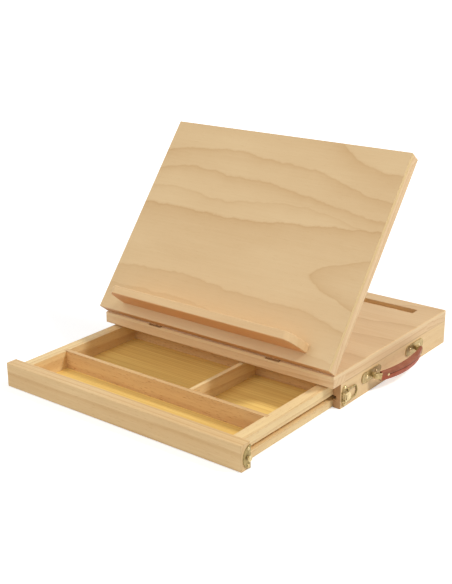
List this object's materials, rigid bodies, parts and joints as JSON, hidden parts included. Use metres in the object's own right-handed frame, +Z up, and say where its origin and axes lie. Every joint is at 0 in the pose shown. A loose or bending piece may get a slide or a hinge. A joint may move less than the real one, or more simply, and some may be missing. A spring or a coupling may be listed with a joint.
{
  "type": "pochade box",
  "caption": "Table-top wooden sketch box: a tilting easel board with a ledge and folding prop on its lid, a pull-out divided drawer, a side latch and a leather strap handle.",
  "frame": {"origin": "middle of the back wall's underside, on the surface that the box stands on", "axes": "+Z up; -Y towards the front, where the drawer pulls out; +X to the right seen from the front, the side with the latch and the handle"},
  "size_m": [0.3628, 0.4299, 0.2641],
  "materials": {
    "frame_wood": "oiled, satin",
    "deck_plywood": "varnished plywood, satin",
    "board_plywood": "varnished plywood, satin",
    "drawer_wood": "oiled, satin",
    "drawer_plywood": "bare plywood, matt",
    "ledge_wood": "oiled, satin",
    "brass": "brass plated, polished",
    "steel": "drawn rod",
    "foot_rubber": "matt",
    "strap_leather": "semi-gloss, red-brown"
  },
  "bodies": {
    "base": {"back_wall": "frame_wood", "side_wall_left": "frame_wood", "side_wall_right": "frame_wood", "runner_left": "frame_wood", "runner_right": "frame_wood", "deck_panel": "deck_plywood", "deck_front_rail": "frame_wood", "deck_rear_rail": "frame_wood", "deck_side_rail_left": "frame_wood", "deck_side_rail_right": "frame_wood", "deck_hinge_leaf_left": "brass", "deck_hinge_leaf_right": "brass", "deck_hinge_screws": "brass", "hinge_pins": "brass", "latch_base_plate": "brass", "latch_pin": "brass", "latch_screws": "brass", "handle_plate_front": "brass", "handle_plate_rear": "brass", "handle_screws": "brass"},
    "drawer": {"drawer_front": "drawer_wood", "drawer_side_left": "drawer_wood", "drawer_side_right": "drawer_wood", "drawer_rear_wall": "drawer_wood", "drawer_bottom": "drawer_plywood", "drawer_long_divider": "drawer_wood", "drawer_cross_divider": "drawer_wood", "strike_plate": "brass", "strike_screws": "brass"},
    "board": {"board_panel": "board_plywood", "board_bottom_rail": "frame_wood", "board_top_rail": "frame_wood", "board_side_rail_left": "frame_wood", "board_side_rail_right": "frame_wood", "canvas_ledge": "ledge_wood", "ledge_screws": "brass", "board_hinge_leaf_left": "brass", "board_hinge_leaf_right": "brass", "board_hinge_screws": "brass", "prop_rod": "steel", "prop_block_left": "frame_wood", "prop_block_right": "frame_wood"},
    "prop": {"prop_stile_left": "frame_wood", "prop_stile_right": "frame_wood", "prop_head_bar": "frame_wood", "prop_foot_dowel": "frame_wood", "prop_foot_grip": "foot_rubber"},
    "latch_lever": {"latch_lever": "brass"},
    "latch_bail": {"latch_bail": "brass"},
    "handle": {"handle_strap": "strap_leather", "handle_rivets": "brass", "handle_pins": "brass", "handle_clip_front": "brass", "handle_clip_rear": "brass"}
  },
  "joints": [
    {"name": "drawer_slide", "type": "slide", "parent": "base", "child": "drawer", "axis": [0, -1, 0], "range_m": [-0.166, 0.025]},
    {"name": "board_hinge", "type": "hinge", "parent": "base", "child": "board", "pos_m": [0, -0.25685, 0.0444], "axis": [1, 0, 0], "range_deg": [-52, 8]},
    {"name": "prop_hinge", "type": "hinge", "parent": "board", "child": "prop", "pos_m": [0, -0.18552, 0.14349], "axis": [1, 0, 0], "range_deg": [-16, 104]},
    {"name": "lever_hinge", "type": "hinge", "parent": "base", "child": "latch_lever", "pos_m": [0.1723, -0.24065, 0.0134], "axis": [0, 0, -1], "range_deg": [0, 105]},
    {"name": "bail_hinge", "type": "hinge", "parent": "base", "child": "latch_bail", "pos_m": [0.172, -0.23165, 0.0134], "axis": [0, 0, -1], "range_deg": [0, 181.5]},
    {"name": "handle_hinge", "type": "hinge", "parent": "base", "child": "handle", "pos_m": [0.1738, -0.12775, 0.02], "axis": [0, 1, 0], "range_deg": [-64, 56]}
  ],
  "couplings": [
    {"joint": "prop_hinge", "follows": "board_hinge", "ratio": -2}
  ]
}
